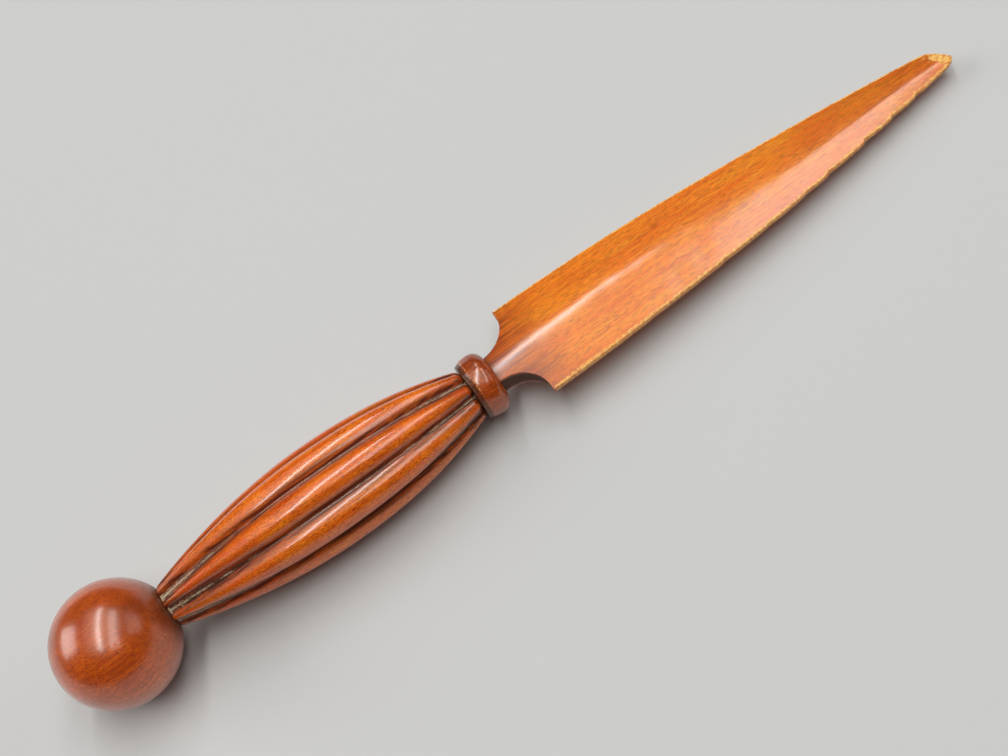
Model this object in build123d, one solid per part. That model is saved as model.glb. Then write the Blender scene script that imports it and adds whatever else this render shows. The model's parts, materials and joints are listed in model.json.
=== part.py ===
from build123d import *
import math
import os

# Wooden letter opener, in millimetres, lying on a desk on its ball and on the belly of its grip.
# Every piece is made along the X axis first, with the ball's centre at zero and the tip towards +X.
# At the end all pieces are tipped by one angle and lifted, so that the desk is the plane z = 0.

# Ball pommel
ball_diameter = 30.0

# Grip: a barrel carved into rounded lobes
grip_length = 84.7
grip_rear_diameter = 11.6
grip_belly_diameter = 25.6
grip_front_diameter = 12.5
belly_from_rear = 44.0
rear_fullness = 1.9
front_fullness = 2.25
lobe_count = 8
groove_depth = 1.8
lobe_front_round = 1.2
lobe_rear_round = 0.9

# Collar between the grip and the blade
collar_diameter = 15.9
collar_width = 6.5
collar_bulge = 0.2
collar_rear_diameter = 14.3
collar_rear_taper = 1.3
collar_front_round = 2.6

# Blade: two facets and a rounded ridge on each face, scooped shoulders and a blunt nose
blade_length = 134.2
blade_width = 27.4
blade_fullness = 1.82
shoulder_setback = 8.8
shoulder_land = 1.4
neck_width = 8.0
blade_thickness = 6.2
edge_thickness = 1.4
tip_ridge_rise = 0.25
thickness_fullness = 1.2
tip_width = 6.4
nose_length = 2.2
nose_land = 3.0
shoulder_ridge_radius = 12.0
tip_ridge_radius = 4.0

# Hidden joinery
tang_diameter = 5.0
tang_in_grip = 32.0
dowel_diameter = 5.0
dowel_in_ball = 11.0
dowel_in_grip = 14.0
peg_chamfer = 0.6
glue_gap = 0.05
hole_end_gap = 0.5

# Places along the axis that follow from the sizes
ball_radius = ball_diameter / 2
belly_radius = grip_belly_diameter / 2
seat_x = math.sqrt(ball_radius**2 - (grip_rear_diameter / 2) ** 2)
belly_x = seat_x + belly_from_rear
collar_rear_x = seat_x + grip_length
collar_front_x = collar_rear_x + collar_width
shoulder_x = collar_front_x + shoulder_setback
tip_x = collar_front_x + blade_length
nose_x = tip_x - nose_length
tip_height = edge_thickness / 2 + tip_ridge_rise

# Tools and sections reach this far past the faces that trim them.
trim_margin = 1.0


def peg(diameter, start_x, end_x):
    """A round peg on the axis, from start_x to end_x."""
    on_axis = Pos(X=start_x) * Rot(Y=90)
    return on_axis * Cylinder(diameter / 2, end_x - start_x, align=(Align.CENTER, Align.CENTER, Align.MIN))


def peg_hole(diameter, start_x, end_x):
    """The hole for such a peg, with room for glue round it."""
    return peg(diameter + 2 * glue_gap, start_x, end_x)


def turned(*edges):
    """A solid of revolution about the axis, from a profile drawn as (distance along the axis, radius)."""
    return revolve(make_face(edges), axis=Axis.X)


def crest_radius(x):
    """Radius of the grip over the tops of its lobes."""
    if x < belly_x:
        share = (belly_x - x) / (belly_x - seat_x)
        return belly_radius - (belly_radius - grip_rear_diameter / 2) * share**rear_fullness
    share = (x - belly_x) / (collar_rear_x - belly_x)
    return belly_radius - (belly_radius - grip_front_diameter / 2) * share**front_fullness


def lobed_section(x):
    """Section of the grip: one arc for each lobe. The arcs meet in grooves, and one groove is at the top."""
    crest = crest_radius(x)
    valley = crest * (1 - groove_depth / belly_radius)
    pitch = 2 * math.pi / lobe_count
    arcs = []
    for lobe in range(lobe_count):
        left = lobe * pitch
        points = []
        for radius, angle in ((valley, left), (crest, left + pitch / 2), (valley, left + pitch)):
            points.append((x, radius * math.sin(angle), radius * math.cos(angle)))
        arcs.append(ThreePointArc(*points))
    return Face(Wire(arcs))


def lobe_rounding(end_x, inward, round_radius):
    """The ring cut away to round the lobes' ends. inward is +1 at the rear end of the grip, -1 at the front."""
    quarter_mid = round_radius * (1 - math.sqrt(0.5))
    start_x = end_x + inward * round_radius
    clear_radius = belly_radius + trim_margin
    clear_x = end_x - inward * trim_margin
    start = (start_x, crest_radius(start_x) + quarter_mid / 2)
    middle = (end_x + inward * quarter_mid, crest_radius(end_x) - quarter_mid)
    end = (end_x, crest_radius(end_x) - round_radius)
    return turned(
        ThreePointArc(start, middle, end),
        Polyline(end, (clear_x, end[1]), (clear_x, clear_radius), (start_x, clear_radius), start),
    )


def make_pommel_ball():
    hole_start_x = ball_radius - dowel_in_ball - hole_end_gap
    return Sphere(ball_radius) - peg_hole(dowel_diameter, hole_start_x, ball_radius + trim_margin)


def make_pommel_dowel():
    dowel = peg(dowel_diameter, ball_radius - dowel_in_ball, ball_radius + dowel_in_grip)
    return chamfer(dowel.edges().filter_by(GeomType.CIRCLE), peg_chamfer)


def make_grip():
    """Lofted lobes, trimmed by the ball's seat and bored at both ends."""
    station_count = 10
    start_x = seat_x - trim_margin
    step = (collar_rear_x - start_x) / (station_count - 1)
    grip = loft([lobed_section(start_x + step * station) for station in range(station_count)])
    grip -= lobe_rounding(collar_rear_x, -1, lobe_front_round)
    grip -= lobe_rounding(seat_x, 1, lobe_rear_round)
    grip -= Sphere(ball_radius + glue_gap)
    grip -= peg_hole(dowel_diameter, 0, ball_radius + dowel_in_grip + hole_end_gap)
    grip -= peg_hole(tang_diameter, collar_rear_x - tang_in_grip - hole_end_gap, collar_front_x)
    return grip


def make_collar():
    """A turned ring: it flares from the grip to a crisp edge, bulges a little and is rounded towards the blade."""
    rim = collar_diameter / 2
    side = rim - collar_bulge
    edge_x = collar_rear_x + collar_rear_taper
    rear = (collar_rear_x, collar_rear_diameter / 2)
    edge = (edge_x, side)
    crown = ((edge_x + collar_front_x) / 2, rim)
    front = (collar_front_x, side)
    profile = make_face(
        [
            Line(rear, edge),
            ThreePointArc(edge, crown, front),
            Polyline(front, (collar_front_x, 0), (collar_rear_x, 0), rear),
        ]
    )
    front_corner = profile.vertices().sort_by_distance((*front, 0))[0]
    ring = revolve(fillet(front_corner, collar_front_round), axis=Axis.X)
    return ring - peg_hole(tang_diameter, collar_rear_x - trim_margin, collar_front_x + trim_margin)


def blade_half_width(x):
    """Half the blade's width from the shoulder to the nose."""
    share = (x - shoulder_x) / (nose_x - shoulder_x)
    return blade_width / 2 - (blade_width - tip_width) / 2 * max(share, 0) ** blade_fullness


def blade_section(x):
    """Section of the blade: from each edge a flat facet rises to a rounded ridge, above and below.

    The facets run a little past the edges, where the plan of the blade trims them.
    """
    share = min(max((x - shoulder_x) / (tip_x - shoulder_x), 0), 1)
    ridge_height = blade_thickness / 2 - (blade_thickness / 2 - tip_height) * share**thickness_fullness
    ridge_radius = shoulder_ridge_radius + (tip_ridge_radius - shoulder_ridge_radius) * share
    half_width = blade_half_width(x)
    edge_height = edge_thickness / 2
    ridge_centre = ridge_height - ridge_radius
    reach = math.hypot(half_width, edge_height - ridge_centre)
    turn = math.atan2(edge_height - ridge_centre, half_width) + math.acos(ridge_radius / reach)
    facet_end_y = ridge_radius * math.cos(turn)
    facet_end_z = ridge_centre + ridge_radius * math.sin(turn)
    outer_y = half_width + trim_margin
    outer_z = edge_height - trim_margin / math.tan(turn)

    edges = []
    for up in (1, -1):
        right_end = (x, up * facet_end_y, up * facet_end_z)
        left_end = (x, -up * facet_end_y, up * facet_end_z)
        right_edge = (x, up * outer_y, up * outer_z)
        left_edge = (x, -up * outer_y, up * outer_z)
        edges.append(Line(right_edge, right_end))
        edges.append(ThreePointArc(right_end, (x, 0, up * ridge_height), left_end))
        edges.append(Line(left_end, left_edge))
        edges.append(Line(left_edge, (x, -up * outer_y, -up * outer_z)))
    return Face(Wire(edges))


def blade_plan():
    """Outline of the blade seen from above: neck, scooped shoulders, curved taper and blunt nose."""
    half_neck = neck_width / 2
    half_land = blade_width / 2 - shoulder_land
    taper_count = 6
    step = (nose_x - shoulder_x) / (taper_count - 1)
    taper = []
    for point in range(taper_count):
        x = shoulder_x + step * point
        taper.append((x, blade_half_width(x)))
    scoop = EllipticalCenterArc(
        (collar_front_x, half_land), shoulder_setback, half_land - half_neck, start_angle=270, arc_size=90
    )
    corner = EllipticalCenterArc(
        (nose_x, nose_land / 2), nose_length, (tip_width - nose_land) / 2, start_angle=0, arc_size=90
    )
    side = Curve() + [scoop, Line((shoulder_x, half_land), taper[0]), Spline(taper), corner]
    nose = Line((tip_x, nose_land / 2), (tip_x, -nose_land / 2))
    neck_end = Line((collar_front_x, half_neck), (collar_front_x, -half_neck))
    return make_face([side, mirror(side, about=Plane.XZ), nose, neck_end])


def make_blade():
    """The blade with its neck, and behind the neck the round tang that holds it in the collar and the grip."""
    station_count = 7
    step = (tip_x + trim_margin - shoulder_x) / (station_count - 1)
    stations = [collar_front_x - trim_margin]
    stations += [shoulder_x + step * station for station in range(station_count)]
    body = loft([blade_section(x) for x in stations])
    blade = body & extrude(blade_plan(), amount=blade_thickness, both=True)
    tang = peg(tang_diameter, collar_rear_x - tang_in_grip, collar_front_x)
    tang_end = tang.edges().filter_by(GeomType.CIRCLE).sort_by(Axis.X)[0]
    return blade + chamfer(tang_end, peg_chamfer)


def grip_reach(x):
    """How far the grip reaches straight down from the axis: less than its crests if a groove is at the bottom."""
    crest = crest_radius(x)
    valley = crest * (1 - groove_depth / belly_radius)
    half_pitch = math.pi / lobe_count
    half_chord = valley * math.sin(half_pitch)
    rise = crest - valley * math.cos(half_pitch)
    lobe_radius = (half_chord**2 + rise**2) / (2 * rise)
    crest_turn = half_pitch if lobe_count % 2 == 0 else 0
    return (crest - lobe_radius) * math.cos(crest_turn) + lobe_radius


def lying_on_desk():
    """Where the part lies: tipped on its ball until the grip, or else the tip, meets the plane z = 0."""
    supports = [(tip_x, tip_height)]
    sample_count = 40
    for sample in range(sample_count + 1):
        x = belly_x + (collar_rear_x - belly_x) * sample / sample_count
        supports.append((x, grip_reach(x)))
    tilts = []
    for x, reach in supports:
        tilts.append(math.asin(ball_radius / math.hypot(x, reach)) - math.atan2(reach, x))
    tilt = min(tilts)
    front_reach = tip_x * math.cos(tilt) + tip_height * math.sin(tilt)
    return Pos(X=(ball_radius - front_reach) / 2, Z=ball_radius) * Rot(Y=math.degrees(tilt))


pieces = {
    "pommel_ball": make_pommel_ball(),
    "pommel_dowel": make_pommel_dowel(),
    "grip": make_grip(),
    "collar": make_collar(),
    "blade": make_blade(),
}

os.makedirs("parts", exist_ok=True)
place = lying_on_desk()
for name, piece in pieces.items():
    export_step(place * piece, f"parts/{name}.step")
    print(name, round(piece.volume), "mm3")
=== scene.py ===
# %% [markdown]
# # A carved letter opener, dressed in varnished wood
# The imported solids give the sizes and the place of every piece: a turned ball, a lobed grip, a collar and
# a blade. This lesson builds a finer piece over each of them, and gives each one the wood that the real
# tool shows: red-brown stain under varnish, fine dark flecks along the grain, dust in the grooves and raw
# wood on the edges. Some shade in the grooves and on the blade, and a highlight line along the blade's far
# edge, are painted into that wood as well.

# %% Load the imported part
import json
import math
import bpy
import numpy as np
from mathutils import Matrix, Vector


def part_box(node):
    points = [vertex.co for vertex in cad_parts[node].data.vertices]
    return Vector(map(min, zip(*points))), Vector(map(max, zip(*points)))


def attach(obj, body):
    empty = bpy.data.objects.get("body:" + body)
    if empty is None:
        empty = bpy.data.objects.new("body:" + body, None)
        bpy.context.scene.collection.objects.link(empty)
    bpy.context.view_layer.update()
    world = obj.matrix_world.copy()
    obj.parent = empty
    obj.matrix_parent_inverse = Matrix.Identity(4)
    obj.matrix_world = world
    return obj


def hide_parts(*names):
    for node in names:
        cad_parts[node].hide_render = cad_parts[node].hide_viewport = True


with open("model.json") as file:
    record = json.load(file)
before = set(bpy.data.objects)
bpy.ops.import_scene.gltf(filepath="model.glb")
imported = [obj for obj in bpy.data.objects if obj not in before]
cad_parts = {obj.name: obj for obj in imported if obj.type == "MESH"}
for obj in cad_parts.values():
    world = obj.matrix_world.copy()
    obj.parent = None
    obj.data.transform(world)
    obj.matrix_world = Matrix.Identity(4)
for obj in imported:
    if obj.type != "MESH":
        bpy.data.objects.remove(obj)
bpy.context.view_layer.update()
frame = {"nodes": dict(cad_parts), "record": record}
print("solids:", sorted(frame["nodes"]))

# %% [markdown]
# ## One axis for all pieces
# The tool is nearly straight, so every piece is easy to describe along its axis: how far from the ball's
# centre (s), how far to the far side (y) and how high above the blade's middle plane (h), in millimetres.
# The tool lies slightly nose down on its ball and its belly, so one matrix carries that description into
# the scene. Writing the pieces in tilted world coordinates would also work, but every radius would then
# have a sine and a cosine in it.

# %% Axis frame
MM = 0.001
ball_low, ball_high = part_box("pommel_ball")
ball_radius = (ball_high.z - ball_low.z) / 2 / MM
ball_centre = Vector((ball_low.x + ball_radius * MM, 0, ball_low.z + ball_radius * MM))
grip_mount = next(m for m in frame["record"]["mounts"] if m["name"] == "hand_grip")
axis = Vector(grip_mount["axis"]).normalized()
far_side = Vector((0, 1, 0))
face_up = axis.cross(far_side)
tilt = math.atan2(-axis.z, axis.x)
axis_to_scene = Matrix.Translation(ball_centre) @ Matrix((axis, far_side, face_up)).transposed().to_4x4()
axis_to_scene @= Matrix.Scale(MM, 4)


def span(node):
    """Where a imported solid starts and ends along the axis, and its largest distance from it, in mm."""
    points = np.empty(len(frame["nodes"][node].data.vertices) * 3)
    frame["nodes"][node].data.vertices.foreach_get("co", points)
    from_ball = (points.reshape(-1, 3) - np.array(ball_centre)) / MM
    s = from_ball @ np.array(axis)
    off_axis = np.linalg.norm(from_ball - np.outer(s, np.array(axis)), axis=1)
    return s.min(), s.max(), off_axis.max()


grip_rear, grip_front, belly_radius = span("grip")
collar_rear, collar_front, collar_radius = span("collar")
tang_rear, tip_end, blade_half = span("blade")
dowel_rear, dowel_front, dowel_radius = span("pommel_dowel")
print(f"tilt {math.degrees(tilt):.2f} deg, ball {ball_radius:.2f}, belly {belly_radius:.2f} mm")
print(f"grip {grip_rear:.2f} to {grip_front:.2f}, collar to {collar_front:.2f}, tip {tip_end:.2f} mm")

# %% [markdown]
# ## Arithmetic in node trees
# A node tree can work out any formula, but wiring Math nodes by hand hides the formula. This small class
# lets Python signs add the Math nodes, so that a shape or a finish reads like the sum it is. It serves
# both the grip's Geometry Nodes and the wood's shader nodes.


# %% Number that flows through a tree
class Flow:
    """A number in a node tree. Arithmetic on it adds Math nodes to the tree."""

    def __init__(self, tree, socket):
        self.tree = tree
        self.socket = socket

    def math(self, operation, *others):
        """The result of one Math node on this number and the others."""
        node = self.tree.nodes.new("ShaderNodeMath")
        node.operation = operation
        for place, value in enumerate((self, *others)):
            if isinstance(value, Flow):
                self.tree.links.new(value.socket, node.inputs[place])
            else:
                node.inputs[place].default_value = value
        return Flow(self.tree, node.outputs[0])

    def __add__(self, other):
        return self.math("ADD", other)

    def __sub__(self, other):
        return self.math("SUBTRACT", other)

    def __mul__(self, other):
        return self.math("MULTIPLY", other)

    def __truediv__(self, other):
        return self.math("DIVIDE", other)

    def __pow__(self, other):
        return self.math("POWER", other)

    __radd__ = __add__
    __rmul__ = __mul__

    def __rsub__(self, other):
        return (self * -1) + other

    def limited(self):
        """The same number, held between 0 and 1."""
        return self.math("MAXIMUM", 0.0).math("MINIMUM", 1.0)

    def ramp(self, low, high):
        """0 below low, 1 above high, and a soft rise between them."""
        node = self.tree.nodes.new("ShaderNodeMapRange")
        node.interpolation_type = "SMOOTHSTEP"
        self.tree.links.new(self.socket, node.inputs["Value"])
        node.inputs["From Min"].default_value = low
        node.inputs["From Max"].default_value = high
        return Flow(self.tree, node.outputs["Result"])


print("numbers in a tree know:", ", ".join(("+", "-", "*", "/", "**", "math", "limited", "ramp")))

# %% [markdown]
# ## The wood
# All pieces are the same kind of close-grained wood, carved, stained and varnished. Its look has layers,
# and each gets its own noise, stretched along the axis because the fibres run that way: broad patches
# where the stain took more or less, long streaks of the year rings, thin lines and short dark flecks.
# Values painted on each mesh add the wear and some painted light. The stain value is where the colour lies
# deeper, as stain and also as painted shade in the grip's grooves and on the blade's far facet. The worn
# value shows raw wood on handled edges and also a painted highlight on the blade's far rim. The dirt value
# darkens seams and also, as painted shade, the blade's scoops and edge walls. Dust lies pale in the seams,
# and the groove value finds the floor of each groove. A photograph would carry one lighting only; nodes
# give the same wood on every side.


# %% Colours and noises
def srgb(red, green, blue):
    """A colour picked on screen, 0 to 255, as the linear colour that shaders use."""
    channels = []
    for value in (red, green, blue):
        share = value / 255
        channels.append(share / 12.92 if share <= 0.04045 else ((share + 0.055) / 1.055) ** 2.4)
    return (*channels, 1.0)


def axis_place(tree):
    """The point being shaded, in the axis frame, in millimetres."""
    where = tree.nodes.new("ShaderNodeTexCoord")
    turn = tree.nodes.new("ShaderNodeMapping")
    turn.vector_type = "TEXTURE"
    turn.inputs["Location"].default_value = ball_centre
    turn.inputs["Rotation"].default_value = (0, tilt, 0)
    turn.inputs["Scale"].default_value = (MM, MM, MM)
    tree.links.new(where.outputs["Object"], turn.inputs["Vector"])
    return turn.outputs["Vector"]


def fibre_noise(tree, place, seed, along, across, detail):
    """Noise whose spots are about 'along' millimetres long and 'across' millimetres wide."""
    stretch = tree.nodes.new("ShaderNodeVectorMath")
    stretch.operation = "MULTIPLY"
    stretch.inputs[1].default_value = (1 / along, 1 / across, 1 / across)
    tree.links.new(place, stretch.inputs[0])
    noise = tree.nodes.new("ShaderNodeTexNoise")
    noise.noise_dimensions = "4D"
    noise.inputs["W"].default_value = seed
    noise.inputs["Scale"].default_value = 1.0
    noise.inputs["Detail"].default_value = detail
    noise.inputs["Roughness"].default_value = 0.55
    tree.links.new(stretch.outputs["Vector"], noise.inputs["Vector"])
    return Flow(tree, noise.outputs[0])


def painted(tree, name):
    """A value painted on the mesh's points."""
    node = tree.nodes.new("ShaderNodeAttribute")
    node.attribute_name = name
    return Flow(tree, node.outputs["Fac"])


def mixed(tree, share, first, second):
    """A colour between two others. Each is a linear colour or the socket of an earlier mix."""
    node = tree.nodes.new("ShaderNodeMix")
    node.data_type = "RGBA"
    tree.links.new(share.socket, node.inputs[0])
    for socket, colour in ((node.inputs[6], first), (node.inputs[7], second)):
        if isinstance(colour, tuple):
            socket.default_value = colour
        else:
            tree.links.new(colour, socket)
    return node.outputs[2]


print(f"a grey of 128 on screen is {srgb(128, 128, 128)[0]:.3f} in linear light")

# %% Varnished wood
WOOD_IOR = 1.6
GROUND_TINT = (1.0, 0.64, 0.42, 1.0)
PORE_DEPTH = 0.06
RAW_WOOD = srgb(252, 198, 108)
RAW_WOOD_DARK = srgb(200, 118, 48)
DUST = srgb(206, 184, 152)
# The dark colour of dirt, also used for the painted shade on the blade's scoops and edge walls.
DIRT_AND_SHADE = srgb(44, 21, 10)


def varnished_wood(name, light, deep, fleck, seed, fleck_size=(1.1, 0.24), fleck_amount=0.6,
                   satin=0.34, varnish=0.5, varnish_satin=0.15):
    """Stained and varnished wood: patches, streaks and flecks along the axis, raw edges, dusty seams."""
    material = bpy.data.materials.new(name)
    material.use_nodes = True
    tree = material.node_tree
    shader = tree.nodes["Principled BSDF"]
    place = axis_place(tree)

    # Long fibres: the stain's patches, the year rings' streaks, thin lines and short flecks.
    fleck_length, fleck_width = fleck_size
    patches = fibre_noise(tree, place, seed, along=18, across=6, detail=3)
    streaks = fibre_noise(tree, place, seed + 1, along=40, across=0.8, detail=4)
    lines = fibre_noise(tree, place, seed + 2, along=7, across=0.2, detail=3)
    specks = fibre_noise(tree, place, seed + 3, along=fleck_length, across=fleck_width, detail=2)
    density = fibre_noise(tree, place, seed + 4, along=9, across=4, detail=2)
    tone = patches.ramp(0.32, 0.68) * 0.45 + streaks.ramp(0.38, 0.62) * 0.55
    colour = mixed(tree, tone, deep, light)
    colour = mixed(tree, lines.ramp(0.44, 0.64) * 0.8, colour, deep)
    flecks = (specks + density * 0.2).ramp(0.59, 0.71) * fleck_amount
    colour = mixed(tree, flecks, colour, fleck)
    # This value is stain, and also painted shade in the grip's grooves and on the blade's far facet near
    # the tip.
    stain_and_shade = painted(tree, "stain_and_shade") * (0.45 + streaks.ramp(0.36, 0.64) * 1.1)
    colour = mixed(tree, stain_and_shade, colour, fleck)

    # Wear and painted light: raw wood where the finish is rubbed off, dirt in seams,
    # dust as a film and as broken lines.
    crumbs = fibre_noise(tree, place, seed + 5, along=0.8, across=0.4, detail=3)
    # The worn value also draws a painted highlight line along the blade's far rim.
    worn_and_highlight = (painted(tree, "worn_and_highlight") + (crumbs - 0.5) * 0.9).ramp(0.42, 0.6)
    raw = mixed(tree, crumbs.ramp(0.32, 0.6), RAW_WOOD_DARK, RAW_WOOD)
    colour = mixed(tree, worn_and_highlight, colour, raw)
    # The dirt value also paints shade on the blade's scoops and the lower part of its edge walls.
    dirt_and_shade = painted(tree, "dirt_and_shade")
    colour = mixed(tree, dirt_and_shade, colour, DIRT_AND_SHADE)
    dashes = fibre_noise(tree, place, seed + 6, along=7.0, across=0.9, detail=3)
    motes = fibre_noise(tree, place, seed + 8, along=0.5, across=0.25, detail=2)
    laid = painted(tree, "dust")
    film = (laid + (crumbs - 0.5) * 0.7 + (motes - 0.5) * 0.9).ramp(0.4, 0.85)
    broken = (dashes * 0.6 + motes * 0.5 + laid * 0.35).ramp(0.56, 0.78)
    groove_line = painted(tree, "groove").ramp(0.72, 0.95) * broken
    dust = (film + groove_line).limited() * 0.8
    colour = mixed(tree, dust, colour, DUST)
    tree.links.new(colour, shader.inputs["Base Color"])

    # Shine: a warm satin ground, smeared by hands, under varnish that is missing on wear, dust and dirt,
    # and also on the painted shade and the painted highlight line.
    smear = fibre_noise(tree, place, seed + 7, along=5, across=3, detail=4)
    roughness = (smear - 0.5) * 0.16 + satin + worn_and_highlight * 0.3 + dust * 0.4 + dirt_and_shade * 0.35
    tree.links.new(roughness.socket, shader.inputs["Roughness"])
    shader.inputs["IOR"].default_value = WOOD_IOR
    shader.inputs["Specular IOR Level"].default_value = 0.6
    shader.inputs["Specular Tint"].default_value = GROUND_TINT
    coat = ((1 - worn_and_highlight * 0.8 - dust) * varnish).limited() * (1 - dirt_and_shade * 0.9)
    tree.links.new(coat.socket, shader.inputs["Coat Weight"])
    shader.inputs["Coat Roughness"].default_value = varnish_satin
    shader.inputs["Coat IOR"].default_value = WOOD_IOR

    # Fine relief: open pores, crumbs of dust and rough raw wood.
    surface = lines * 0.4 - flecks * 0.3 + smear * 1.5 + dust * crumbs * 3 + worn_and_highlight * crumbs * 3
    bump = tree.nodes.new("ShaderNodeBump")
    bump.inputs["Strength"].default_value = 0.35
    bump.inputs["Distance"].default_value = PORE_DEPTH * MM
    tree.links.new(surface.socket, bump.inputs["Height"])
    tree.links.new(bump.outputs["Normal"], shader.inputs["Normal"])
    print("wood:", name, len(tree.nodes), "nodes")
    return material


# %% Woods of the four pieces
blade_wood = varnished_wood("blade wood", srgb(255, 160, 22), srgb(236, 106, 9), srgb(128, 34, 5), seed=3,
                            fleck_size=(1.9, 0.13), fleck_amount=0.55, satin=0.36,
                            varnish=1.0, varnish_satin=0.18)
grip_wood = varnished_wood("grip wood", srgb(255, 139, 14), srgb(222, 82, 8), srgb(94, 26, 7), seed=13,
                           fleck_size=(1.0, 0.14), fleck_amount=0.6, varnish=0.7, varnish_satin=0.14)
ball_wood = varnished_wood("ball wood", srgb(242, 110, 11), srgb(176, 62, 6), srgb(84, 26, 5), seed=23,
                           fleck_size=(0.9, 0.25), fleck_amount=0.4, varnish=1.0, varnish_satin=0.21)
collar_wood = varnished_wood("collar wood", srgb(212, 90, 12), srgb(146, 50, 6), srgb(70, 22, 5), seed=33,
                             fleck_size=(0.8, 0.3), fleck_amount=0.5, varnish=0.8)

# %% [markdown]
# ## Rings of points
# The blade, the ball and the collar are all skins over a row of closed rings. One helper joins such rings
# with quads, closes the ends or joins the last ring to the first, stores the painted values and moves the
# points to their place, so that the object stays at the origin. Lathe and loft tools exist too, but with
# the rings in hand each point can also be chipped, worn or wobbled.


# %% Skin over rings
def wobble(first, second, seed):
    """A smooth, hand-made unevenness between -1 and 1: a few waves with fixed phases."""
    total = 0
    for wave in range(1, 6):
        phase = seed * 12.9898 + wave * 78.233
        turn = math.sin(phase) * 1.3
        across_wave = first * math.cos(turn) + second * math.sin(turn)
        total = total + np.sin(wave**0.8 * across_wave + phase) / wave
    return total / 2.28


def soft_step(value, low, high):
    """0 below low, 1 above high, and a soft rise between them."""
    share = np.clip((value - low) / (high - low), 0, 1)
    return share * share * (3 - 2 * share)


def place_piece(name, mesh, material):
    """Puts a mesh that was made in the axis frame into the scene, smooth, with its one material."""
    mesh.transform(axis_to_scene)
    mesh.polygons.foreach_set("use_smooth", [True] * len(mesh.polygons))
    mesh.materials.clear()
    mesh.materials.append(material)
    mesh.update()
    piece = bpy.data.objects.new(name, mesh)
    bpy.context.scene.collection.objects.link(piece)
    print(f"{name}: {len(mesh.vertices)} points, {len(mesh.polygons)} faces")
    return piece


def skin(name, rings, values, material, ring_closed=False):
    """A piece from rings of points, shaped (rings, points, 3), with closed ends or as one closed loop."""
    count, around = rings.shape[:2]
    points = rings.reshape(-1, 3)
    row = np.arange(count if ring_closed else count - 1)[:, None] * around
    next_row = (row + around) % (count * around)
    here = np.arange(around)[None, :]
    after = (here + 1) % around
    corners = [row + here, row + after, next_row + after, next_row + here]
    faces = np.stack(corners, -1).reshape(-1, 4).tolist()
    if not ring_closed:
        first_hub = len(points)
        last_hub = len(points) + 1
        points = np.vstack([points, rings[0].mean(0), rings[-1].mean(0)])
        last_row = (count - 1) * around
        for place in range(around):
            beside = (place + 1) % around
            faces.append([first_hub, beside, place])
            faces.append([last_hub, last_row + place, last_row + beside])
    mesh = bpy.data.meshes.new(name)
    mesh.from_pydata(points.tolist(), [], faces)
    for title, value in values.items():
        painted_value = np.zeros(len(points), np.float32)
        painted_value[: count * around] = np.broadcast_to(value, (count, around)).ravel()
        mesh.attributes.new(title, "FLOAT", "POINT").data.foreach_set("value", painted_value)
    return place_piece(name, mesh, material)


sample = wobble(np.linspace(0, 60, 2000), 0, 1)
print(f"hand-made unevenness runs from {sample.min():.2f} to {sample.max():.2f}")

# %% [markdown]
# ## The ball
# The ball was turned on a lathe and then handled for years: it is round, but not perfectly. Rings about
# the axis keep the lathe's order, and a slow wobble of a tenth of a millimetre breaks up the reflections
# as on the real one. A ready made sphere would show mirror-straight highlights. A few small knocks have
# gone through the finish. Dust and dirt gather in a ring where the grip sits on it, and the hole for the
# dowel is bored from there.

# %% Unevenness and knocks of the ball
GLUE_GAP = 0.05
HOLE_END_GAP = 0.5
BALL_RINGS = 110
BALL_POINTS = 168
POLE_ANGLE = 0.012
DIP_DEPTH = 0.10
LATHE_DEPTH = 0.006
KNOCK_DEPTH = 0.09
dowel_hole = dowel_radius + GLUE_GAP
hole_angle = math.pi - math.asin(dowel_hole / ball_radius)
polar = np.linspace(POLE_ANGLE, hole_angle, BALL_RINGS)[:, None]
turn = np.linspace(0, 2 * math.pi, BALL_POINTS, endpoint=False)[None, :]
dips = 0.5 + 0.5 * wobble(polar * 3 * np.cos(turn), polar * 3 * np.sin(turn), 5)
lathe_rings = 0.5 + 0.5 * np.cos(polar * 90)

# Small knocks: the direction of each from the ball's centre (s, y, h), and its radius in millimetres.
knocks = (
    (0.19, -0.55, 0.81, 0.5), (0.18, -0.63, 0.76, 0.6), (0.16, -0.72, 0.68, 0.5), (0.77, -0.56, 0.30, 0.5),
    (0.48, -0.42, 0.77, 0.4), (0.12, 0.35, 0.93, 0.5), (-0.55, 0.62, -0.56, 0.6), (-0.2, -0.3, -0.93, 0.5),
)
knocked = 0 * polar * turn
for knock_s, knock_y, knock_h, knock_radius in knocks:
    apart_s = np.cos(polar) + knock_s
    apart_y = np.sin(polar) * np.sin(turn) - knock_y
    apart_h = np.sin(polar) * np.cos(turn) - knock_h
    apart = np.sqrt(apart_s**2 + apart_y**2 + apart_h**2) * ball_radius
    knocked = np.maximum(knocked, np.exp(-((apart / knock_radius) ** 2)))
ball_reach = ball_radius - DIP_DEPTH * dips - LATHE_DEPTH * lathe_rings - KNOCK_DEPTH * knocked
print(f"ball: {ball_reach.min():.2f} to {ball_reach.max():.2f} mm from its centre, {len(knocks)} knocks")

# %% Turned ball
ball_s = -ball_reach * np.cos(polar)
ball_off = ball_reach * np.sin(polar)
hole_s = np.linspace(ball_s[-1].mean(), dowel_rear - HOLE_END_GAP, 6)[1:, None] + 0 * turn
ball_s = np.vstack([ball_s, hole_s])
ball_off = np.vstack([ball_off, dowel_hole + 0 * hole_s])
ball_rings = np.stack([ball_s, ball_off * np.sin(turn), ball_off * np.cos(turn)], -1)

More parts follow.
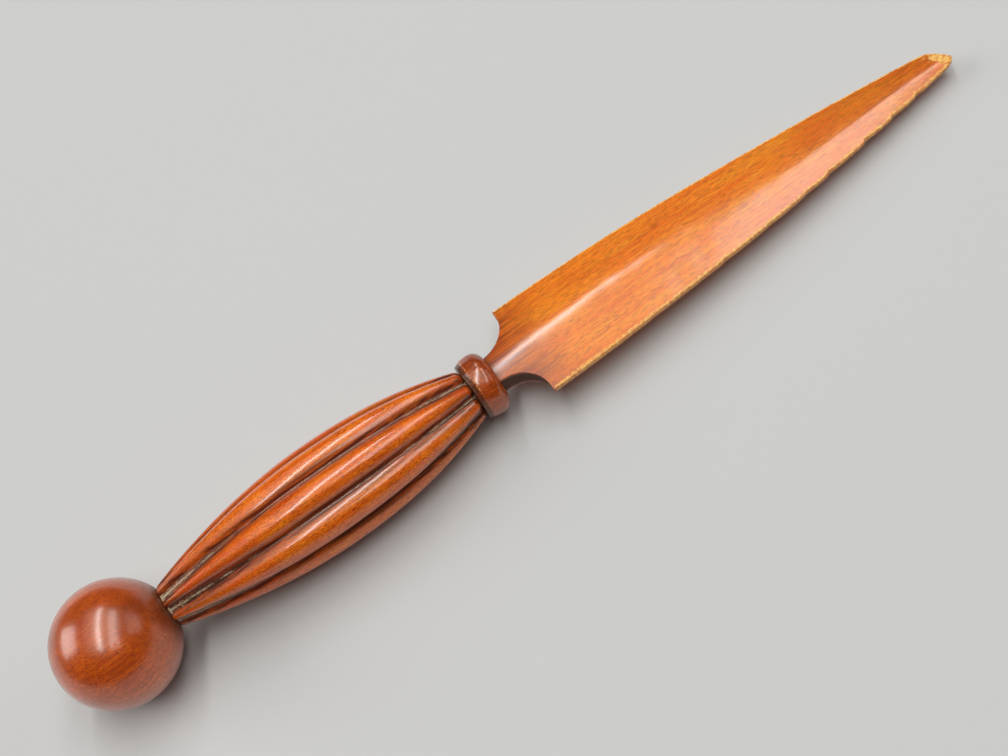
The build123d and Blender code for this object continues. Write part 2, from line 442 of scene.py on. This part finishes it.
seat_radius = math.sqrt(ball_radius**2 - grip_rear**2)
towards_grip = soft_step(ball_s, 3.0, 9.0)
ball_seam = 1 - soft_step(np.abs(ball_off - seat_radius), 0.1, 0.8)
ball_uneven = wobble(ball_s * 0.25, ball_off * np.sin(turn) * 0.3, 12)
ball_worn = np.vstack([0.62 * knocked, 0 * hole_s])
past_seat = ball_off - seat_radius
ball_dirt = 0.7 - 0.4 * soft_step(past_seat, 0.1, 1.5) - 0.3 * soft_step(past_seat, 1.5, 5.5)
ball = skin("turned_ball", ball_rings, {
    "worn_and_highlight": ball_worn,
    "stain_and_shade": 0.15 + 0.25 * ball_uneven + 0.1 * towards_grip,
    "dirt_and_shade": towards_grip * ball_dirt,
    "dust": 0.5 * ball_seam * towards_grip,
}, ball_wood)

# %% [markdown]
# ## The grip
# Eight rounded lobes run from the ball to the collar over a barrel shape. That is a rule, so Geometry
# Nodes can make it: a flat grid is bent into the barrel, and one formula gives the distance from the axis
# at each point. The lobe count, the groove depth and the barrel's sizes are inputs of the tree. Carving
# each lobe by hand would take longer and could not be changed afterwards. The grooves end in wide flat
# floors, as a gouge leaves them, and a little noise with a fixed seed keeps the carved look. The rows at
# both ends turn inwards and line the holes for dowel and tang.

# %% Inputs of the lobed grip
TANG_RADIUS = 2.5
COLLAR_SHIFT = -0.45
grip_tree = bpy.data.node_groups.new("lobed grip", "GeometryNodeTree")
grip_sizes = {
    "Length": collar_rear - grip_rear,
    "Seat Distance": grip_rear,
    "Ball Radius": ball_radius,
    "Rear Radius": seat_radius,
    "Belly Radius": 12.8,
    "Front Radius": 6.25,
    "Belly Place": 44.0,
    "Rear Fullness": 1.9,
    "Front Fullness": 2.25,
    "Lobes": 8.0,
    "Groove Depth": 2.8,
    "Groove Softness": 0.028,
    "Rear Floor": 0.15,
    "Front Floor": 0.08,
    "Rear Rounding": 0.9,
    "Front Rounding": 1.2,
    "Front Shift": COLLAR_SHIFT,
    "Hole Radius": TANG_RADIUS + GLUE_GAP,
    "Rear Hole": dowel_front + HOLE_END_GAP - ball_radius,
    "Front Hole": collar_rear - tang_rear + HOLE_END_GAP,
    "Carving": 0.14,
    "Seed": 4.0,
}
grip_tree.interface.new_socket("Geometry", in_out="OUTPUT", socket_type="NodeSocketGeometry")
for title in grip_sizes:
    grip_tree.interface.new_socket(title, in_out="INPUT", socket_type="NodeSocketFloat")
grip_tree.interface.new_socket("Wood", in_out="INPUT", socket_type="NodeSocketMaterial")
grip_in = grip_tree.nodes.new("NodeGroupInput")
size = {title: Flow(grip_tree, grip_in.outputs[title]) for title in grip_sizes}
print("grip tree inputs:", ", ".join(grip_sizes))

# %% Barrel, from the ball to the collar
ROWS = 210
COLUMNS = 385

# Shares of the rows at each end: the hole's bottom, its wall and the end face. The rest is the outside.
HUB_END = 0.01
HOLE_MOUTH = 0.03
FACE_END = 0.05
ROW_CROWDING = 0.85
grid = grip_tree.nodes.new("GeometryNodeMeshGrid")
for title, value in (("Size X", 1.0), ("Size Y", 1.0), ("Vertices X", ROWS), ("Vertices Y", COLUMNS)):
    grid.inputs[title].default_value = value
where = grip_tree.nodes.new("GeometryNodeInputPosition")
split = grip_tree.nodes.new("ShaderNodeSeparateXYZ")
grip_tree.links.new(where.outputs[0], split.inputs[0])
lengthwise = Flow(grip_tree, split.outputs["X"]) + 0.5
crosswise = Flow(grip_tree, split.outputs["Y"]) + 0.5
to_end = lengthwise.math("MINIMUM", 1 - lengthwise)

even = ((lengthwise - FACE_END) / (1 - 2 * FACE_END)).limited()
eased = even - (even * (2 * math.pi)).math("SINE") * (ROW_CROWDING / (2 * math.pi))
from_rear = eased * size["Length"]
from_front = size["Length"] - from_rear
rear_share = ((size["Belly Place"] - from_rear) / size["Belly Place"]).math("MAXIMUM", 0.0)
front_length = size["Length"] - size["Belly Place"]
front_share = ((from_rear - size["Belly Place"]) / front_length).math("MAXIMUM", 0.0)
rear_fall = (size["Belly Radius"] - size["Rear Radius"]) * rear_share ** size["Rear Fullness"]
front_fall = (size["Belly Radius"] - size["Front Radius"]) * front_share ** size["Front Fullness"]
crest = size["Belly Radius"] - rear_fall - front_fall


def end_round(distance, radius):
    """How much a rounded end takes off at a distance from the end face."""
    short = (radius - distance).math("MAXIMUM", 0.0)
    return radius - (radius * radius - short * short).math("MAXIMUM", 0.0).math("SQRT")


print("barrel grid:", ROWS, "rows of", COLUMNS, "points")

# %% Lobes round the barrel
LOBE_SWAY = 0.0022
lobe_turn = (size["Lobes"] ** -1) * (2 * math.pi)
half_turn = lobe_turn * 0.5
swayed = crosswise + (crosswise * (6 * math.pi) + 1.1).math("SINE") * LOBE_SWAY
lobe_place = (swayed * size["Lobes"]).math("FRACT")
to_groove = (0.5 - (lobe_place - 0.5).math("ABSOLUTE")) * lobe_turn
rear_floor = size["Rear Floor"] * (1 - from_rear.ramp(1.0, 32.0))
front_floor = size["Front Floor"] * (1 - from_front.ramp(1.0, 24.0))
floor_half = rear_floor + front_floor
past_floor = (to_groove - floor_half).math("MAXIMUM", 0.0) * half_turn / (half_turn - floor_half)
softness = size["Groove Softness"]
from_crest = half_turn - (past_floor * past_floor + softness * softness).math("SQRT")

valley = 1 - size["Groove Depth"] / size["Belly Radius"]
half_chord = valley * half_turn.math("SINE")
rise = 1 - valley * half_turn.math("COSINE")
lobe_radius = (half_chord * half_chord + rise * rise) / (rise * 2)
lobe_centre = 1 - lobe_radius
sideways = lobe_centre * from_crest.math("SINE")
lobe_bow = (lobe_radius * lobe_radius - sideways * sideways).math("SQRT")
lobe_reach = lobe_centre * from_crest.math("COSINE") + lobe_bow
print(f"lobes: {grip_sizes['Lobes']:.0f}, with grooves {grip_sizes['Groove Depth']} mm deep at the belly")

# %% Unevenness of the carving
CARVE_ALONG = 0.09
CARVE_ROUND = 1.6
CARVE_LEVEL = 0.82
angle = crosswise * (2 * math.pi)
carve_place = grip_tree.nodes.new("ShaderNodeCombineXYZ")
carve_point = (
    from_rear * CARVE_ALONG,
    angle.math("SINE") * CARVE_ROUND,
    angle.math("COSINE") * CARVE_ROUND,
)
for socket, value in zip(carve_place.inputs, carve_point):
    grip_tree.links.new(value.socket, socket)
carve_noise = grip_tree.nodes.new("ShaderNodeTexNoise")
carve_noise.noise_dimensions = "4D"
carve_noise.inputs["Scale"].default_value = 1.0
carve_noise.inputs["Detail"].default_value = 2.0
grip_tree.links.new(carve_place.outputs[0], carve_noise.inputs["Vector"])
grip_tree.links.new(size["Seed"].socket, carve_noise.inputs["W"])
uneven = (Flow(grip_tree, carve_noise.outputs[0]) - CARVE_LEVEL) * size["Carving"]
print(f"carving: takes off up to {CARVE_LEVEL * grip_sizes['Carving']:.2f} mm")

# %% Ends, seat and holes
ends = end_round(from_rear, size["Rear Rounding"]) + end_round(from_front, size["Front Rounding"])
on_face = ((to_end - HOLE_MOUTH) / (FACE_END - HOLE_MOUTH)).limited()
in_hole = 1 - ((to_end - HUB_END) / (HOLE_MOUTH - HUB_END)).limited()
hub = (to_end / HUB_END).limited()
outside = crest * lobe_reach + uneven - ends
reach = (size["Hole Radius"] + (outside - size["Hole Radius"]) * on_face) * hub
ball_skin = (size["Ball Radius"] * size["Ball Radius"] - reach * reach).math("MAXIMUM", 0.0).math("SQRT")
rear_half = lengthwise.math("LESS_THAN", 0.5)
depth = in_hole * (rear_half * size["Rear Hole"] - (1 - rear_half) * size["Front Hole"])
distance = (size["Seat Distance"] + from_rear).math("MAXIMUM", ball_skin + GLUE_GAP) + depth
shift = size["Front Shift"] * (from_rear / size["Length"]).ramp(0.0, 1.0) * on_face
bent = grip_tree.nodes.new("ShaderNodeCombineXYZ")
bent_point = (distance, reach * angle.math("SINE") + shift, reach * angle.math("COSINE"))
for socket, value in zip(bent.inputs, bent_point):
    grip_tree.links.new(value.socket, socket)
print(f"holes: rear {grip_sizes['Rear Hole']:.2f} mm deep, front {grip_sizes['Front Hole']:.2f} mm deep")

# %% Painted values and the finished tree
WELD_DISTANCE = 0.0004
gap = to_groove * crest
groove_floor = 1 - (gap - floor_half * crest).ramp(-0.1, 0.4)
seam_rear = 1 - from_rear.ramp(0.2, 1.6)
seam_front = 1 - from_front.ramp(0.1, 0.8)
long_rear = 1 - from_rear.ramp(1.0, 30.0)
long_front = 1 - from_front.ramp(1.0, 40.0)
groove_dirt = 0.38 + 0.3 * long_rear + 0.2 * long_front
grip_values = {
    "groove": (1 - gap / 1.5).limited(),
    "dust": groove_floor * (0.5 * long_rear + 0.32 * long_front) + seam_rear * 0.4 + seam_front * 0.5,
    "dirt_and_shade": groove_floor * groove_dirt + seam_front * 0.5 * (1 - groove_floor),
    # Painted shade: the lobes' flanks darken within 3 mm of each groove, where shade falls; the darker ends
    # are stain.
    "stain_and_shade": 0.85 * (1 - gap.ramp(0.2, 3.0)) + 0.25 * long_rear + 0.15 * (1 - from_front.ramp(2.0, 14.0)),
}
stage = grid.outputs["Mesh"]
for title, value in grip_values.items():
    store = grip_tree.nodes.new("GeometryNodeStoreNamedAttribute")
    store.inputs["Name"].default_value = title
    grip_tree.links.new(stage, store.inputs["Geometry"])
    grip_tree.links.new(value.socket, store.inputs["Value"])
    stage = store.outputs["Geometry"]
shaped = grip_tree.nodes.new("GeometryNodeSetPosition")
grip_tree.links.new(bent.outputs[0], shaped.inputs["Position"])
closed = grip_tree.nodes.new("GeometryNodeMergeByDistance")
closed.inputs["Distance"].default_value = WELD_DISTANCE
realized = grip_tree.nodes.new("GeometryNodeRealizeInstances")
dressed = grip_tree.nodes.new("GeometryNodeSetMaterial")
grip_tree.links.new(grip_in.outputs["Wood"], dressed.inputs["Material"])
for node in (shaped, closed, realized, dressed, grip_tree.nodes.new("NodeGroupOutput")):
    grip_tree.links.new(stage, node.inputs["Geometry"])
    stage = node.outputs["Geometry"] if node.outputs else None
print("grip tree:", len(grip_tree.nodes), "nodes")

# %% From tree to plain mesh
maker = bpy.data.objects.new("grip maker", bpy.data.meshes.new("grip maker"))
bpy.context.scene.collection.objects.link(maker)
bend = maker.modifiers.new("lobed grip", "NODES")
bend.node_group = grip_tree
for item in grip_tree.interface.items_tree:
    if item.in_out == "INPUT":
        bend[item.identifier] = grip_wood if item.name == "Wood" else grip_sizes[item.name]
graph = bpy.context.evaluated_depsgraph_get()
made = maker.evaluated_get(graph)
grip_mesh = bpy.data.meshes.new_from_object(made, preserve_all_data_layers=True, depsgraph=graph)
bpy.data.objects.remove(maker)
grip = place_piece("lobed_grip", grip_mesh, grip_wood)

# %% [markdown]
# ## The collar
# The collar is a turned ring: it flares from the grip to a crisp edge, the outside bulges a little and
# the front edge is rounded down to the blade's neck. It is a lathe profile turned about the axis, with
# the flats of a knife left on it. The crisp edge is rubbed to raw wood, and the flare behind it holds
# dirt.

# %% Profile of the collar
BULGE = 0.2
FRONT_ROUND = 2.6
FLARE_LENGTH = 1.3
FLARE_RADIUS = 7.15
FLARE_HOLLOW = 0.05
EDGE_ROUND = 0.14
tang_hole = TANG_RADIUS + GLUE_GAP
edge_s = collar_rear + FLARE_LENGTH
side = collar_radius - BULGE
profile = [(collar_rear, radius) for radius in np.linspace(tang_hole, FLARE_RADIUS - 0.1, 9)]

# The flare, slightly hollow, up to the crisp edge.
for share in np.linspace(0, 1, 10):
    hollow = FLARE_HOLLOW * math.sin(math.pi * share)
    flare_s = collar_rear + 0.03 + (FLARE_LENGTH - 0.1) * share
    profile.append((flare_s, FLARE_RADIUS + (side - 0.12 - FLARE_RADIUS) * share - hollow))
for share in np.linspace(0.1, 1, 5):
    over_edge = EDGE_ROUND * (1 - math.cos(share * math.pi / 2))
    profile.append((edge_s - 0.05 + over_edge, side - EDGE_ROUND * (1 - share) ** 2))

# The bulging outside, the rounded front and the front face.
width = collar_front - edge_s
for share in np.linspace(0.06, 0.46, 13):
    profile.append((edge_s + width * share, side + BULGE * (1 - (2 * share - 1) ** 2)))
for share in np.linspace(0.04, 1, 22):
    over = share * math.pi / 2
    front_s = collar_front - FRONT_ROUND * (1 - math.sin(over))
    profile.append((front_s, collar_radius - FRONT_ROUND * (1 - math.cos(over))))
front_face = np.linspace(collar_radius - FRONT_ROUND - 0.3, tang_hole, 8)
profile += [(collar_front, radius) for radius in front_face]
profile = np.array(profile)
print("collar profile:", len(profile), "points, crisp edge at", round(edge_s, 2))

# %% Turned collar
COLLAR_POINTS = 192
FLAT_DEPTH = 0.07
collar_turn = np.linspace(0, 2 * math.pi, COLLAR_POINTS, endpoint=False)[None, :]
along = profile[:, :1]
off = profile[:, 1:]
knife_flats = 0.5 - 0.5 * np.cos(11 * collar_turn + 2.4 * np.sin(collar_turn * 2) + along)
outer = soft_step(off, 4.6, 6.6)
hand_work = 0.05 * (1 + wobble(collar_turn * 4, along, 9))
collar_reach = off - outer * (FLAT_DEPTH * knife_flats + hand_work)
collar_rings = np.stack([
    along + 0 * collar_turn,
    collar_reach * np.sin(collar_turn) + COLLAR_SHIFT * soft_step(off, 2.7, 4.4),
    collar_reach * np.cos(collar_turn),
], -1)
rear_edge = 1 - soft_step(np.hypot(along - edge_s, off - side), 0.1, 0.34)
flare = 1 - soft_step(along, edge_s - 0.4, edge_s - 0.1)
front_seam = soft_step(along, collar_front - 0.5, collar_front) * (1 - soft_step(off, 4.6, 5.6))
collar = skin("turned_collar", collar_rings, {
    "worn_and_highlight": (0.44 + 0.12 * wobble(collar_turn * 5, along, 21)) * rear_edge,
    "stain_and_shade": 0.15 + 0.6 * flare + 0.2 * wobble(collar_turn * 2, along * 0.6, 4),
    "dirt_and_shade": 0.45 * flare + 0.6 * front_seam,
    "dust": 0.3 * front_seam,
}, collar_wood, ring_closed=True)

# %% [markdown]
# ## The blade
# The blade was whittled: two facets meet in a rounded ridge on each face, the shoulders are scooped, the
# edges are thin walls and the nose is worn off on its far side. It is a loft, so one function gives the
# outline, one the height of the roof, and rings run along the blade. Real chips go into the outline
# itself, because a bump would not show at the edge. Along the near edge the finish is rubbed off to raw
# wood, and dark stain lies round the neck. Painted shade darkens the scoops' walls, the lower part of the
# edge walls and, towards the tip, the far facet. Along the far edge a light line of raw wood is partly a
# painted highlight.

# %% Outline of the blade
SCOOP_LENGTH = 8.8
FAR_NECK = 3.7
NEAR_NECK = 4.1
NOSE_HALF = 3.2
land_half = blade_half - 1.4
shoulder = collar_front + SCOOP_LENGTH
nose = tip_end - 2.2
last_s = tip_end - 0.7


def full_half(s):
    """Half the blade's width, without scoops and wear."""
    share = np.clip((s - shoulder) / (nose - shoulder), 0, 1.02)
    return blade_half - (blade_half - NOSE_HALF) * share**1.82


def middle(s):
    """The blade's slight bend to the sides."""
    leaves_neck = soft_step(s, collar_front - 4, shoulder + 2)
    comes_back = soft_step(s, shoulder + 24, tip_end - 42)
    return 0.66 * leaves_neck * (1 - comes_back) - 0.2 * soft_step(s, tip_end - 40, tip_end)


def ridge(s):
    """Where the ridge runs, measured from the blade's middle."""
    to_near_side = 1.9 * soft_step(s, shoulder + 20, tip_end - 32)
    back_again = 1.2 * soft_step(s, tip_end - 50, tip_end - 10)
    return -0.25 - to_near_side + back_again


# The nose's worn outline, as (distance before the tip, y) on the far and on the near side.
far_worn = np.array([
    (17, 99), (15.2, 5.15), (10.4, 4.45), (7.7, 3.95), (5, 3.25), (3.1, 1.9), (1.4, -0.1), (0.7, -1.2),
])
near_worn = np.array([
    (14, -99), (13.2, -5.25), (8.2, -4.42), (5.2, -3.9), (2.6, -3.25), (1.3, -2.5), (0.7, -1.8),
])

# Chips in the near edge: where each starts, how deep it is and how far it runs out.
chips = (
    (142.0, 0.26, 4.0), (163.0, 0.32, 5.0), (176.5, 0.30, 4.0), (188.5, 0.38, 5.0),
    (195.8, 0.52, 6.5), (207.6, 0.62, 6.0), (216.7, 0.52, 6.0), (224.4, 0.50, 4.5),
)


def near_wear(s):
    """How much chips and knocks took off the near edge."""
    beads = np.abs(wobble(s * 4.6, s * 0, 3)) * 0.16 + np.abs(wobble(s * 1.7, s * 0, 8)) * 0.10
    taken = beads * soft_step(s, shoulder - 0.5, shoulder + 3)
    for start, depth, run in chips:
        past = s - start
        ramp = np.where((past >= 0) & (past < run), depth * (1 - past / run), 0)
        taken = np.maximum(taken, ramp * soft_step(past, -0.05, 0.35))
    return taken


def outline(s):
    """The far and the near edge of the blade at s."""
    bow = np.sqrt(np.clip(1 - ((s - collar_front) / SCOOP_LENGTH) ** 2, 0, 1))
    on_scoop = s <= shoulder
    far_edge = full_half(s) - 0.05 - 0.05 * wobble(s * 1.3, s * 0, 14)
    near_edge = full_half(s) - near_wear(s)
    half_far = np.where(on_scoop, land_half - (land_half - FAR_NECK) * bow, far_edge)
    half_near = np.where(on_scoop, land_half - (land_half - NEAR_NECK) * bow, near_edge)
    far = np.minimum(middle(s) + half_far, np.interp(s, tip_end - far_worn[:, 0], far_worn[:, 1]))
    near = np.maximum(middle(s) - half_near, np.interp(s, tip_end - near_worn[:, 0], near_worn[:, 1]))
    return far, near


print(f"blade: shoulder at {shoulder:.1f}, tip at {last_s:.1f}, {len(chips)} chips")

# %% Roof of the blade
EDGE_HALF = 0.7
EDGE_HALF_TIP = 0.45
RIDGE_TOP = 3.1
RIDGE_TOP_TIP = 0.95


def edge_half(s):
    """Half the thickness of the blade's edge, which was rubbed thinner towards the tip."""
    return EDGE_HALF + (EDGE_HALF_TIP - EDGE_HALF) * soft_step(s, shoulder + 35, tip_end - 5)


def blade_face(s, y, seed):
    """Height of a face over the blade's middle plane, and how much of the nose's worn facet shows there."""
    share = np.clip((s - shoulder) / (tip_end - shoulder), 0, 1)
    roof_rise = RIDGE_TOP + (RIDGE_TOP_TIP - RIDGE_TOP) * share**1.2 - edge_half(s)
    top_round = 0.16 + 0.14 * share
    past_ridge = y - middle(s) - ridge(s)
    side_width = np.where(past_ridge > 0, full_half(s) - ridge(s), full_half(s) + ridge(s))
    out = np.clip(np.abs(past_ridge) / side_width, 0, 1.05)
    level = np.sqrt(1 + top_round**2)
    height = edge_half(s) + roof_rise * (level - np.sqrt(out**2 + top_round**2)) / (level - top_round)
    height = height + 0.035 * wobble(s * 0.35, y * 0.5, seed) * soft_step(s, shoulder - 4, shoulder + 10)
    over_nose = (s - tip_end + 4.9) * 0.75 + (y + 0.2) * 0.35
    facet = np.where(over_nose > 0, 0.85 - 0.22 * over_nose, 9.0)
    shows = 0.6 * soft_step(height - facet, -0.02, 0.05) + 0.4 * soft_step(over_nose, -3.5, 0)
    return np.minimum(height, facet), shows


print(f"roof: {RIDGE_TOP} mm over the middle plane at the shoulder, {RIDGE_TOP_TIP} mm at the tip")

# %% Stations along and across the blade
NOSE_ROUND = 0.32
EDGE_CROWDING = 0.8
stations = np.concatenate([
    collar_front + SCOOP_LENGTH * np.sin(np.linspace(0, math.pi / 2, 44)),
    [shoulder + 0.04],
    np.linspace(shoulder + 0.25, tip_end - 7, 430),
    np.linspace(tip_end - 6.9, last_s - NOSE_ROUND, 44),
    last_s - NOSE_ROUND * (1 - np.sin(np.linspace(0.15, math.pi / 2, 6))),
])
even_share = np.linspace(0, 1, 65)
across = even_share - EDGE_CROWDING * np.sin(2 * math.pi * even_share) / (2 * math.pi)
wall = np.linspace(1, 0, 9)[1:-1]
print(f"blade: {len(stations)} stations, {len(across)} points across a face, {len(wall)} on an edge")

# %% Rings and painted values of the blade
CORNER = 0.2
rings = []
worn_and_highlight_rows = []
dirt_and_shade_rows = []
stain_and_shade_rows = []
dust_rows = []
for s in stations:
    far, near = outline(s)
    over_end = max(NOSE_ROUND - (last_s - s), 0)
    inset = NOSE_ROUND - math.sqrt(max(NOSE_ROUND**2 - over_end**2, 0))
    far = far - inset * 0.3
    near = near + inset * 0.3
    y = far - (far - near) * across
    edge_gap = np.minimum(far - y, y - near)
    corner = CORNER - np.sqrt(CORNER**2 - np.clip(CORNER - edge_gap, 0, CORNER) ** 2)
    top, top_facet = blade_face(s, y, 2)
    under = blade_face(s, y, 6)[0]
    top = top - corner - inset
    under = under - corner - inset
    near_wall = -under[-1] + (top[-1] + under[-1]) * wall
    far_wall = -under[0] + (top[0] + under[0]) * wall[::-1]
    rough = 0.07 * wobble(near_wall * 6, s * 4 + 0 * near_wall, 17) * soft_step(s, shoulder, shoulder + 2)
    ring_y = np.concatenate([y, near + 0.04 + rough, y[::-1], far - 0.02 + 0 * far_wall])
    ring_h = np.concatenate([top, near_wall, -under[::-1], far_wall])
    rings.append(np.stack([s + 0 * ring_y, ring_y, ring_h], -1))

    past_shoulder = soft_step(s, shoulder - 0.4, shoulder + 0.8)
    below_top = np.concatenate([0 * y, top[-1] - near_wall, 9 + 0 * y, top[0] - far_wall])
    near_rim = 1 - soft_step(np.hypot(ring_y - near, below_top * 0.8), 0.6, 1.1)
    # Along the far rim the raw wood is also a painted highlight line.
    far_rim_wear_and_highlight = 1 - soft_step(np.hypot(far - ring_y, below_top), 0.3, 0.7)
    on_facet = np.concatenate([top_facet, 0 * near_wall, 0 * top_facet, 0 * far_wall])
    near_worn_off = near_rim * (0.25 + 0.29 * past_shoulder)
    far_wear_and_highlight = far_rim_wear_and_highlight * (0.3 + 0.42 * past_shoulder)
    worn_and_highlight_rows.append(np.maximum.reduce([near_worn_off, far_wear_and_highlight, on_facet]))
    neck = 1 - soft_step(s, collar_front + 0.2, collar_front + 1.8)
    # Painted shade: the scoops' walls below their top edge, and further on the lower part of the edge
    # walls, are darkened as shade; the darkening at the neck is dirt.
    lower_wall_shade = soft_step(below_top, 0.12 + 0.6 * past_shoulder, 0.4 + 0.9 * past_shoulder) * (below_top < 8)
    dirt_and_shade_rows.append(0.45 * neck * (1 - lower_wall_shade) + lower_wall_shade * (0.92 - 0.5 * past_shoulder))
    ridge_line = 1 - soft_step(np.abs(ring_y - middle(s) - ridge(s)), 0.15, 0.5)
    towards_tip = soft_step(s, tip_end - 70, tip_end - 8)
    towards_neck = 1 - soft_step(s, collar_front, shoulder + 13)
    # Painted shade: the far facet is darkened towards the tip, beside the darker stain and the dark line
    # along the ridge.
    far_facet_shade = soft_step(ring_y - middle(s) - ridge(s), -0.3, 0.8)
    tip_stain_and_shade = (0.12 + 0.22 * far_facet_shade + 0.3 * ridge_line) * towards_tip
    stain_and_shade_rows.append(tip_stain_and_shade + 0.85 * towards_neck)
    dust_rows.append(0.3 * neck + 0 * ring_y)
print("blade:", len(rings), "rings of", len(rings[0]), "points")

# %% Blade with its tang
TANG_BEVEL = 0.6
neck_ring = rings[0]
around_tang = np.arctan2(neck_ring[:, 2], neck_ring[:, 1])
tang_profile = (
    (tang_rear, TANG_RADIUS - TANG_BEVEL),
    (tang_rear + TANG_BEVEL, TANG_RADIUS),
    (collar_front - 0.02, TANG_RADIUS),
)
tang = []
for s, radius in tang_profile:
    tang_y = radius * np.cos(around_tang)
    tang_h = radius * np.sin(around_tang)
    tang.append(np.stack([s + 0 * around_tang, tang_y, tang_h], -1))
unpainted = [0 * around_tang] * len(tang)
blade = skin("carved_blade", np.array(tang + rings), {
    "worn_and_highlight": np.array(unpainted + worn_and_highlight_rows),
    "dirt_and_shade": np.array(unpainted + dirt_and_shade_rows),
    "stain_and_shade": np.array(unpainted + stain_and_shade_rows),
    "dust": np.array(unpainted + dust_rows),
}, blade_wood)

# %% [markdown]
# ## The hidden dowel and the roles of the pieces
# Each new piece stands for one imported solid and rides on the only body. The dowel is glued inside the
# ball and the grip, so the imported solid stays, in plain bare wood with the same fibres.

# %% Roles
dowel_wood = varnished_wood("dowel wood", srgb(206, 176, 134), srgb(182, 148, 104), srgb(150, 112, 70),
                            seed=43, satin=0.6, varnish=0.0)
dowel = frame["nodes"]["pommel_dowel"]
dowel.data.materials.clear()
dowel.data.materials.append(dowel_wood)
for piece, node, slot, hidden in (
    (ball, "pommel_ball", "handle_wood", ball_wood),
    (grip, "grip", "handle_wood", grip_wood),
    (collar, "collar", "handle_wood", collar_wood),
    (blade, "blade", "blade_wood", blade_wood),
):
    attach(piece, "root")
    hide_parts(node)
    frame["nodes"][node].data.materials.clear()
    frame["nodes"][node].data.materials.append(hidden)

# %% [markdown]
# ## Floor, light and camera
# The tool lies on a plain pale sheet under soft studio light. Three long panels hang from the ceiling: a
# slim bright one, a wide dim one to its left and one to its right. A window stands on the left, and a dim
# wall shines from the right. Their places follow from the bright bands on the ball, the ridge and the
# near facet of the blade: the mirror direction at each band points at its lamp. The room round them stays
# dim, so that the stain keeps its depth between the highlights. Together they are just strong enough for
# the sheet to look about as its colour is written.

# %% Floor
FLOOR_HALF = 3.0
FLOOR_DROP = 0.0001
floor_corners = [(x * FLOOR_HALF, y * FLOOR_HALF, 0) for x, y in ((-1, -1), (1, -1), (1, 1), (-1, 1))]
floor_mesh = bpy.data.meshes.new("floor")
floor_mesh.from_pydata(floor_corners, [], [(0, 1, 2, 3)])
floor = bpy.data.objects.new("floor", floor_mesh)
bpy.context.scene.collection.objects.link(floor)
floor_paper = bpy.data.materials.new("pale paper")
floor_paper.use_nodes = True
paper = floor_paper.node_tree.nodes["Principled BSDF"]
paper.inputs["Base Color"].default_value = srgb(200, 200, 198)
paper.inputs["Roughness"].default_value = 0.9
paper.inputs["Specular IOR Level"].default_value = 0.15
floor_mesh.materials.append(floor_paper)
floor.location.z = -FLOOR_DROP
print("floor:", 2 * FLOOR_HALF, "m square")


# %% Lamps
CEILING_TURN = -24.8
ROOM_GLOW = 0.04


def panel(name, centre, width, length, radiance, turn_deg=None):
    """A flat soft panel. With a turn it looks straight down, else it looks at the tool from its side."""
    lamp = bpy.data.lights.new(name, "AREA")
    lamp.shape = "RECTANGLE"
    lamp.size = width
    lamp.size_y = length
    lamp.energy = radiance * math.pi * width * length
    holder = bpy.data.objects.new(name, lamp)
    holder.location = centre
    if turn_deg is None:
        holder.rotation_euler = (-Vector(centre)).to_track_quat("-Z", "Y").to_euler()
    else:
        holder.rotation_euler.z = math.radians(turn_deg)
    bpy.context.scene.collection.objects.link(holder)
    print(f"{name}: {width} by {length} m, radiance {radiance}")


panel("bright ceiling panel", (0.03, 0.37, 2.0), 0.18, 2.90, 14.4, turn_deg=CEILING_TURN)
panel("dim ceiling panel", (-0.53, 0.57, 2.0), 0.86, 2.80, 0.7, turn_deg=CEILING_TURN)
panel("right ceiling panel", (0.755, -0.13, 2.0), 0.56, 2.70, 4.1, turn_deg=CEILING_TURN)
panel("left window", (-1.80, 1.00, 1.25), 1.4, 1.2, 3.6)
panel("right wall", (1.92, -0.24, 1.30), 1.4, 0.9, 1.0)
world = bpy.data.worlds.new("studio")
bpy.context.scene.world = world
world.use_nodes = True
room = world.node_tree.nodes["Background"]
room.inputs["Color"].default_value = (0.9, 0.9, 0.9, 1)
room.inputs["Strength"].default_value = ROOM_GLOW
bpy.context.scene.view_settings.view_transform = "Standard"

# %% Camera
CAMERA_PLACE = (-0.021739, -0.187579, 0.306676)
CAMERA_TURN = (27.8563, 16.6577, -33.4416)
camera_data = bpy.data.cameras.new("camera")
camera_data.sensor_width = 36.0
camera_data.lens = 54.07
camera = bpy.data.objects.new("camera", camera_data)
camera.location = CAMERA_PLACE
camera.rotation_euler = [math.radians(turn_deg) for turn_deg in CAMERA_TURN]
camera_data.clip_start = 0.01
camera_data.clip_end = 20
bpy.context.scene.collection.objects.link(camera)
bpy.context.scene.camera = camera
print(f"camera: {camera_data.lens:.2f} mm lens, {camera.location.length:.3f} m from the tool's middle")
